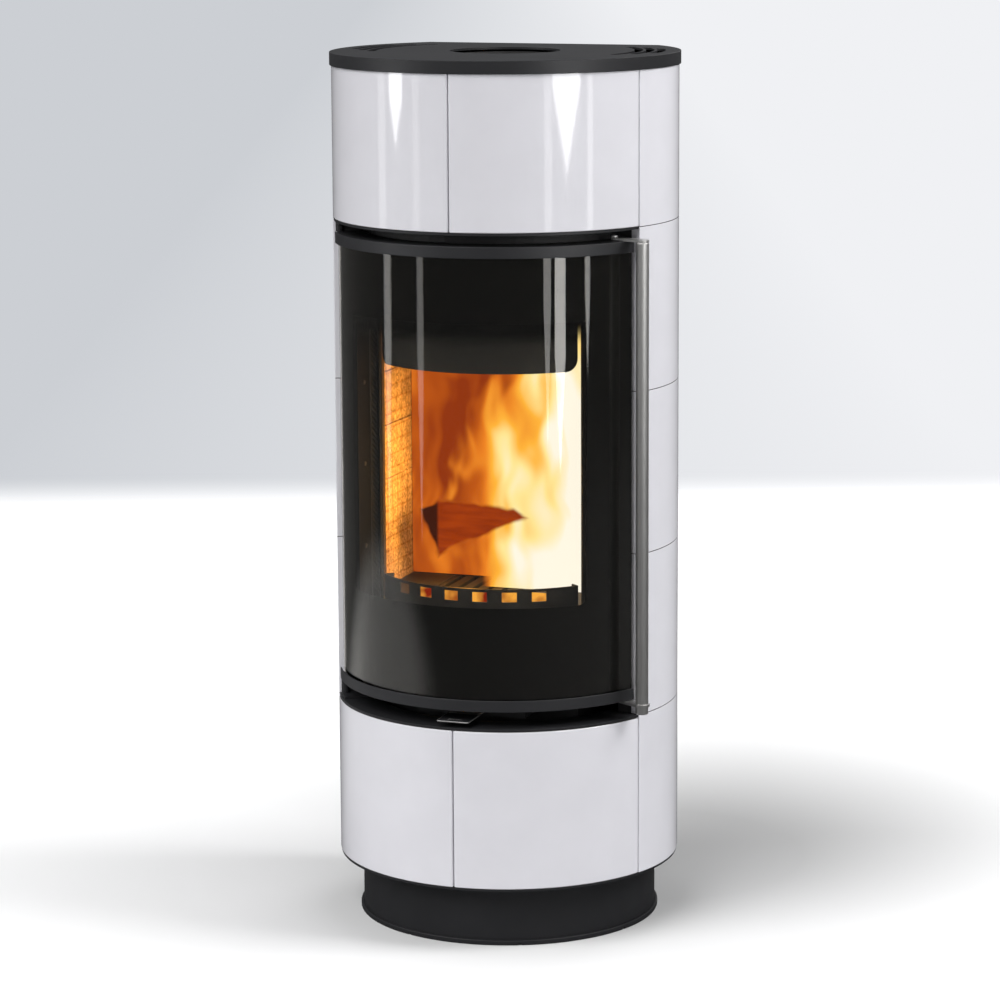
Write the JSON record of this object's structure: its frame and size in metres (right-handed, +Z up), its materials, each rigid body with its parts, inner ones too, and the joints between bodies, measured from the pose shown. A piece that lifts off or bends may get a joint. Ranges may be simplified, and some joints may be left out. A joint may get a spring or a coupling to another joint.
{
  "type": "tiled stove",
  "caption": "Free-standing round tiled wood stove with a curved glass door, bar handle, air slide, ash pan, lined firebox and top flue outlet on a round plinth.",
  "frame": {"origin": "floor level on the axis of the round column", "axes": "+Z up, the door faces -Y, the flat back faces +Y"},
  "size_m": [0.4964, 0.4235, 1.2401],
  "materials": {
    "tile_glaze": "white high-gloss glaze with a cool tint",
    "black_steel": "matt black heat-resistant paint",
    "grey_steel": "satin dark grey heat-resistant paint",
    "inner_steel": "matt dark paint",
    "stainless": "brushed",
    "cast_iron": "as cast, matt",
    "vermiculite": "pressed mineral board, dull",
    "rope_seal": "braided glass-fibre rope",
    "ceramic_glass": "clear ceramic glass with a black printed border"
  },
  "bodies": {
    "stove_body": {"tile_side_1_right": "tile_glaze", "tile_side_1_left": "tile_glaze", "tile_side_2_right": "tile_glaze", "tile_side_2_left": "tile_glaze", "tile_side_3_right": "tile_glaze", "tile_side_3_left": "tile_glaze", "tile_side_4_right": "tile_glaze", "tile_side_4_left": "tile_glaze", "tile_side_5_right": "tile_glaze", "tile_side_5_left": "tile_glaze", "tile_front_lower_right": "tile_glaze", "tile_front_lower_left": "tile_glaze", "tile_front_upper_right": "tile_glaze", "tile_front_upper_left": "tile_glaze", "base_plate": "black_steel", "plinth_wall": "black_steel", "lower_tile_carrier": "black_steel", "sill_plate": "black_steel", "upper_tile_carrier": "black_steel", "top_plate": "black_steel", "hinge_bracket_upper": "black_steel", "hinge_bracket_lower": "black_steel", "side_shell_right": "inner_steel", "side_shell_left": "inner_steel", "rear_panel": "inner_steel", "top_frame_ring": "inner_steel", "firebox_shell": "inner_steel", "firebox_front": "inner_steel", "rear_heat_shield": "inner_steel", "cheek_left": "inner_steel", "cheek_right": "inner_steel", "log_retainer": "inner_steel", "airwash_deflector": "inner_steel", "pedestal_frame": "inner_steel", "air_box": "inner_steel", "air_box_lid": "inner_steel", "air_inlet_duct": "inner_steel", "catch_stud_lower": "inner_steel", "catch_stud_upper": "inner_steel", "flue_collar": "cast_iron", "hearth_plate": "cast_iron", "grate": "cast_iron", "lining_left": "vermiculite", "lining_right": "vermiculite", "lining_back": "vermiculite", "lower_baffle": "vermiculite", "upper_baffle": "vermiculite"},
    "door": {"door_frame": "grey_steel", "door_upper_band": "grey_steel", "door_lower_band": "grey_steel", "door_glass": "ceramic_glass", "glass_clamp_upper": "grey_steel", "glass_clamp_lower": "grey_steel", "door_seal": "rope_seal"},
    "handle": {"handle_bar": "stainless", "handle_arm_upper": "stainless", "handle_arm_lower": "stainless", "latch_shaft": "inner_steel"},
    "air_lever": {"air_lever": "stainless"},
    "ash_pan": {"ash_pan": "inner_steel"}
  },
  "joints": [
    {"name": "door_hinge", "type": "hinge", "parent": "stove_body", "child": "door", "pos_m": [-0.21301, -0.1016, 0.666], "axis": [0, 0, -1], "range_deg": [0, 105]},
    {"name": "handle_turn", "type": "hinge", "parent": "door", "child": "handle", "pos_m": [0.1916, -0.10187, 0.666], "axis": [0, 0, -1], "range_deg": [0, 30]},
    {"name": "air_lever_slide", "type": "slide", "parent": "stove_body", "child": "air_lever", "axis": [0, -1, 0], "range_m": [0, 0.05]},
    {"name": "ash_pan_slide", "type": "slide", "parent": "stove_body", "child": "ash_pan", "axis": [0, -1, 0], "range_m": [0, 0.09]}
  ],
  "couplings": [
    {"joint": "ash_pan_slide", "follows": "door_hinge", "m_per_rad": 0.048}
  ]
}
